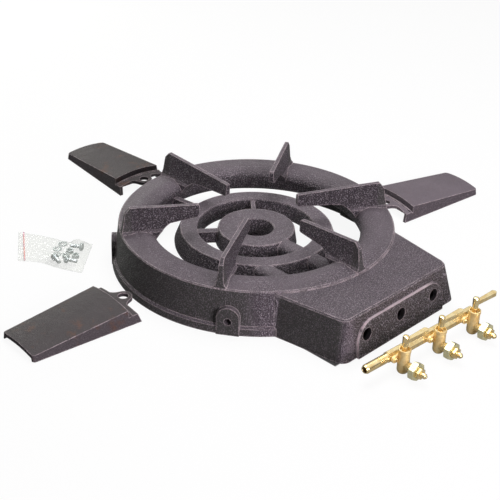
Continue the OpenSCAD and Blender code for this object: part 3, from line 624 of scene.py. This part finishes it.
class STOVE_OT_manifold(bpy.types.Operator):
    """Finishes the brass bar, hose tail, taps and jets, and adds outlet threads and chamfered lock nuts"""

    bl_idname = "stove.manifold"
    bl_label = "Manifold"

    def execute(self, context):
        look = context.scene.stove_brass
        polished = brass_finish("brass_polished", tuple(look.polished), 0.13, 0.0016, 0.00003)
        cast = brass_finish("brass_cast", tuple(look.cast), 0.42, 0.0007, 0.00012, cast=True)
        pale = brass_finish("brass_pale", tuple(look.pale), 0.16, 0.0016, 0.00003, tint=NUT_TARNISH)
        coat(named("manifold_bar", "hose_tail", "tap_key", "gland", "flange", "jet"), polished)
        coat(named("tap_body"), cast)
        threads = thread_recipe()
        for index, side in enumerate(SIDES):
            tap = MANIFOLD @ Matrix.Translation(((index - 1) * TAP_PITCH, 0, 0))
            self.lock_nut(side, tap, pale)
            start, end = (tap @ Vector((0, -NUT_TO + behind, OUTLET_Z))
                          for behind in (OUTLET_THREAD_BEHIND, OUTLET_THREAD_BEYOND))
            piece = threads.make("outlet_thread_" + side, {
                "Start": start * MM, "End": end * MM, "Radius": (OUTLET_R - THREAD_INSET) * MM,
                "Depth": OUTLET_THREAD_DEPTH * MM, "Turns": OUTLET_THREAD_TURNS, "Material": polished})
            dress(piece, polished, "brass_cast", ROOT)
        return {"FINISHED"}

    def lock_nut(self, side, tap, material):
        """A hexagon nut with chamfers and a countersunk thread."""
        thick, bore, sink = NUT_TO - NUT_FROM, OUTLET_R + 0.06, 0.5
        crown = NUT_AF / 2 * 0.985

        def outline(angle):
            reach, drop = hexagon(angle, NUT_AF - 0.1, crown)
            return [(bore, sink), (bore + sink, 0), (crown, 0), (reach, drop + EDGE_BAND),
                    (reach, thick - drop - EDGE_BAND), (crown, thick), (bore + sink, thick),
                    (bore, thick - sink)]

        place = tap @ Matrix.Translation((0, -NUT_FROM, OUTLET_Z)) @ Matrix.Rotation(math.radians(90), 4, "X")
        nut = turned("lock_nut_form_" + side, outline, NUT_STEPS, place, True)
        sharpen(nut, SHARP_HEXAGON)
        dress(nut, material, "brass_pale", ROOT, "lock_nut_" + side)


class STOVE_OT_bolts(bpy.types.Operator):
    """Makes the threaded leg bolts with chamfered heads, and finishes nuts and washers"""

    bl_idname = "stove.bolts"
    bl_label = "Bolts"

    def execute(self, context):
        look = context.scene.stove_bag
        zinc = zinc_finish()
        coat(named("leg_nut", "leg_washer"), zinc)
        threads = thread_recipe()
        turns = max(2, round(BOLT_LENGTH * BOLT_THREAD_SHARE * MM / look.bolt_pitch))
        above_film = 0.7 + BOLT_HEAD_AF / 2 / math.cos(math.pi / 6)
        for key, (across, along, turn) in BOLTS_AT.items():
            axis = (BAG @ Matrix.Translation((across, along, above_film))
                    @ Matrix.Rotation(math.radians(turn), 4, "Z") @ Matrix.Rotation(math.pi / 2, 4, "Y"))
            bolt = turned("leg_bolt_form_" + key, self.outline, BOLT_STEPS, axis, False)
            sharpen(bolt, SHARP_HEXAGON)
            piece = threads.make("bolt_thread_" + key, {
                "Start": axis @ Vector((0, 0, BOLT_HEAD_T + BOLT_LENGTH * BOLT_THREAD_FROM)) * MM,
                "End": axis @ Vector((0, 0, BOLT_HEAD_T + BOLT_LENGTH - 0.05)) * MM,
                "Radius": (BOLT_SHANK_R - THREAD_INSET) * MM, "Depth": BOLT_THREAD_DEPTH * MM,
                "Turns": turns, "Material": zinc})
            dress(piece, zinc, "zinc_steel", ROOT)
            dress(bolt, zinc, "zinc_steel", ROOT, "leg_bolt_" + key)
        return {"FINISHED"}

    def outline(self, angle):
        """The bolt's profile: a dished hexagon head, a fillet and the shank's core inside the thread."""
        crown = BOLT_HEAD_AF / 2 * 0.96
        core, tip = BOLT_SHANK_R - 0.35, BOLT_HEAD_T + BOLT_LENGTH - 1
        reach, drop = hexagon(angle, BOLT_HEAD_AF - 0.04, crown)
        return [(0, 0.25), (2.6, 0.25), (2.9, 0), (crown, 0), (reach, drop + EDGE_BAND), (reach, BOLT_HEAD_T),
                (BOLT_SHANK_R + 0.3, BOLT_HEAD_T), (core, BOLT_HEAD_T + 0.4), (core, tip), (0, tip)]


class STOVE_OT_bag(bpy.types.Operator):
    """Lays the clear bag over the bolts, with its seams and pink zip"""

    bl_idname = "stove.bag"
    bl_label = "Bag"

    def execute(self, context):
        look = context.scene.stove_bag
        self.film(look)
        self.zip(look)
        return {"FINISHED"}

    def spot(self, u, v):
        """A point of the film seen from above, with u across and v along the bag, each from -1 to 1."""
        waist = WAIST_RIGHT if u > 0 else WAIST_LEFT
        pull = WAIST_PULL * math.exp(-(((v - waist) / WAIST_LENGTH) ** 2))
        wide = (BAG_HALF_W - FILM_INSET - pull * abs(u) ** 3) * u
        return wide + v * BAG_LEAN, v * (BAG_HALF_L - FILM_INSET + u * BAG_SKEW)

    def height(self, u, v, hard, wrinkle):
        """How high the film stands: it tents over the hardware, falls to its seams and wrinkles."""
        x, y = self.spot(u, v)
        rim = min(1, (1 - abs(u)) * SEAM_RISE_ACROSS, (1 - abs(v)) * SEAM_RISE_ALONG)
        tent = FILM_SLACK + FILM_BELLY * max(0, 1 - abs(v + 0.05)) * rim
        for cx, cy, top, reach in hard:
            away = max(0, math.hypot(x - cx, y - cy) - reach)
            tent = max(tent, top - away * TENT_SLOPE - away * away * TENT_CURVE)
        crease = noise.noise(Vector((x * 0.10 + y * 0.02, y * 0.05, 3.1)))
        fine = noise.noise(Vector((x * 0.30, y * 0.22 - x * 0.1, 8.7)))
        rise = tent + wrinkle * (abs(crease) * 1.9 + fine * 0.7) * min(1, rim * 2)
        if rim < 1:
            rise = rise * (0.25 + 0.75 * min(1, rim * 1.8))
        return max(FILM_LEAST, min(FILM_MOST, rise))

    def film(self, look):
        """The film's two layers, joined at the rim."""
        hard = []
        for name in named("leg_bolt", "leg_nut", "leg_washer"):
            low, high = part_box(name)
            centre = BAG.inverted() @ ((low + high) / 2 / MM)
            reach = (high.xy - low.xy).length / MM * 0.30
            hard.append((centre.x, centre.y, high.z / MM + FILM_OVER_HARD, reach))
        verts, faces = [], []
        for upper in (False, True):
            for j in range(FILM_ROWS + 1):
                for i in range(FILM_COLS + 1):
                    u, v = 2 * i / FILM_COLS - 1, 2 * j / FILM_ROWS - 1
                    on_rim = i in (0, FILM_COLS) or j in (0, FILM_ROWS)
                    inner = self.height(u, v, hard, look.wrinkle / MM) if upper else FILM_BELOW
                    verts.append((*self.spot(u, v), FILM_RIM if on_rim else inner))
        row, sheet = FILM_COLS + 1, (FILM_COLS + 1) * (FILM_ROWS + 1)
        for j in range(FILM_ROWS):
            for i in range(FILM_COLS):
                a = j * row + i
                b = a + sheet
                faces.append((a, a + row, a + row + 1, a + 1))
                faces.append((b, b + 1, b + row + 1, b + row))
        bag = smooth_mesh("bolt_bag_film", verts, faces, BAG)
        smoothing = bag.modifiers.new("Smooth", "LAPLACIANSMOOTH")
        smoothing.iterations, smoothing.lambda_factor, smoothing.use_volume_preserve = 2, 0.4, True
        dress(bag, film_finish(look), "bag_film", ROOT, "bolt_bag")

    def zip(self, look):
        """The zip: two ribs pressed together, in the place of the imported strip."""
        low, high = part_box("bag_zip")
        verts, faces = [], []
        base = low.z / MM + ZIP_LIFT
        for i in range(ZIP_STEPS + 1):
            u = 2 * i / ZIP_STEPS - 1
            x = u * (BAG_HALF_W - ZIP_END) + ZIP_ROW * BAG_LEAN
            y = ZIP_ROW * (BAG_HALF_L + u * BAG_SKEW) + ZIP_TILT + u * ZIP_TILT
            wave = ZIP_WAVE * math.sin(u * ZIP_WAVES)
            verts += [(x, y + across, base + up * 0.98 + wave) for across, up in ZIP_PROFILE]
        count = len(ZIP_PROFILE)
        for i in range(ZIP_STEPS):
            for j in range(count):
                a, b = i * count + j, i * count + (j + 1) % count
                faces.append((a, b, b + count, a + count))
        faces.append(tuple(range(count)))
        faces.append(tuple(ZIP_STEPS * count + j for j in range(count)))
        strip = smooth_mesh("zip_ribs", verts, faces, BAG)
        sharpen(strip, SHARP_ZIP)
        dress(strip, zip_finish(look), "zip_pink", ROOT, "bag_zip")


class STOVE_OT_stage(bpy.types.Operator):
    """Sets the floor, the lamps and the camera"""

    bl_idname = "stove.stage"
    bl_label = "Stage"

    def execute(self, context):
        look = context.scene.stove_stage
        self.floor()
        self.world(context)
        for name, (place, aim, size, setting, share, colour) in LAMPS.items():
            self.lamp(name, place, aim, size, getattr(look, setting) * share, colour)
        self.camera(context, look)
        return {"FINISHED"}

    def floor(self):
        """A pale floor that shows white to the camera, keeps the shadow and throws little light back; under
        the hollow box it is painted dark as shade.
        """
        form = bmesh.new()
        bmesh.ops.create_grid(form, x_segments=1, y_segments=1, size=FLOOR_HALF)
        mesh = bpy.data.meshes.new("floor")
        form.to_mesh(mesh)
        form.free()
        mesh.transform(Matrix.Translation((0, 0, -FLOOR_DROP)))
        floor = add_piece("floor", mesh)
        f = Finish("pale_floor")
        x, y = (f.part("Object", axis) for axis in range(2))
        boxed = zone({"across": x * x, "y": y}, UNDER_BOX)
        seen, through, shiny = (f.ray(kind) for kind in ("Camera", "Transmission", "Glossy"))
        paint = f.mix(f.noise(0.4), FLOOR_DARK, FLOOR_LIGHT)
        # Under the hollow box the camera sees the dark paint and no white: painted shade
        paint = f.add("ShaderNodeBsdfDiffuse", None, {"Color": f.mix(seen * (1 - boxed), paint, FLOOR_SEEN)})
        white = f.add("ShaderNodeEmission", None, {"Color": WHITE, "Strength": 1.0})
        share = (seen.most(through) * 0.92).most(shiny * 0.25) * (1 - boxed)
        blend = f.add("ShaderNodeMixShader", None, {0: share, 1: paint, 2: white})
        floor.data.materials.append(f.surface(blend))

    def world(self, context):
        """White behind the object, and a soft sky that only shows in what is glossy."""
        sky = Finish("studio", "worlds")
        seen, through, shiny = (sky.ray(kind) for kind in ("Camera", "Transmission", "Glossy"))
        strength = (shiny * (0.06 + sky.part("Generated", 2).ramp(0.25, 0.6) * 0.85)).most(0.02)
        strength = strength.most(seen.most(through))
        back = sky.add("ShaderNodeBackground", None, {"Color": WHITE, "Strength": strength})
        sky.add("ShaderNodeOutputWorld", None, {"Surface": back})
        context.scene.world = sky.made

    def lamp(self, name, place, aim, size, power, colour):
        light = bpy.data.lights.new(name, "AREA")
        light.shape = "RECTANGLE"
        light.size, light.size_y = size
        light.energy = power
        light.color = colour
        lamp = add_piece(name, light)
        lamp.location = place
        lamp.rotation_euler = (Vector(aim) - Vector(place)).to_track_quat("-Z", "Y").to_euler()

    def camera(self, context, look):
        context.scene.view_settings.view_transform = "Standard"
        data = bpy.data.cameras.new("camera")
        data.sensor_width = 36
        data.lens = look.lens
        data.clip_end = 20
        camera = add_piece("camera", data)
        level = math.cos(CAMERA_LIFT)
        back = Vector((math.sin(CAMERA_TURN) * level, -math.cos(CAMERA_TURN) * level, math.sin(CAMERA_LIFT)))
        right = Vector((0, 0, 1)).cross(back).normalized()
        up = back.cross(right)
        across = right * math.cos(CAMERA_ROLL) + up * math.sin(CAMERA_ROLL)
        high = up * math.cos(CAMERA_ROLL) - right * math.sin(CAMERA_ROLL)
        turn = Matrix((across, high, back)).transposed().to_4x4()
        camera.matrix_world = Matrix.Translation(CAMERA_AIM + back * look.distance) @ turn
        context.scene.camera = camera


class STOVE_PT_panel(bpy.types.Panel):
    """Lists the stove's pieces and their settings"""

    bl_idname = "STOVE_PT_panel"
    bl_label = "Gas stove"
    bl_space_type = "VIEW_3D"
    bl_region_type = "UI"
    bl_category = "Gas stove"

    def draw(self, context):
        for name, kind in SETTINGS.items():
            box = self.layout.box()
            for key in kind.__annotations__:
                box.prop(getattr(context.scene, name), key)
        for step in STEPS:
            self.layout.operator(step.bl_idname)


STEPS = (STOVE_OT_stage, STOVE_OT_castings, STOVE_OT_manifold, STOVE_OT_bolts, STOVE_OT_bag)
SETTINGS = {"stove_coat": CoatSettings, "stove_brass": BrassSettings,
            "stove_bag": BagSettings, "stove_stage": StageSettings}


def register():
    for kind in (*SETTINGS.values(), *STEPS, STOVE_PT_panel):
        bpy.utils.register_class(kind)
    for name, kind in SETTINGS.items():
        setattr(bpy.types.Scene, name, bpy.props.PointerProperty(type=kind))


def unregister():
    for name in SETTINGS:
        delattr(bpy.types.Scene, name)
    for kind in reversed((*SETTINGS.values(), *STEPS, STOVE_PT_panel)):
        bpy.utils.unregister_class(kind)


def main():
    register()
    for step in STEPS:
        group, name = step.bl_idname.split(".")
        getattr(getattr(bpy.ops, group), name)()


if __name__ == "__main__":
    main()
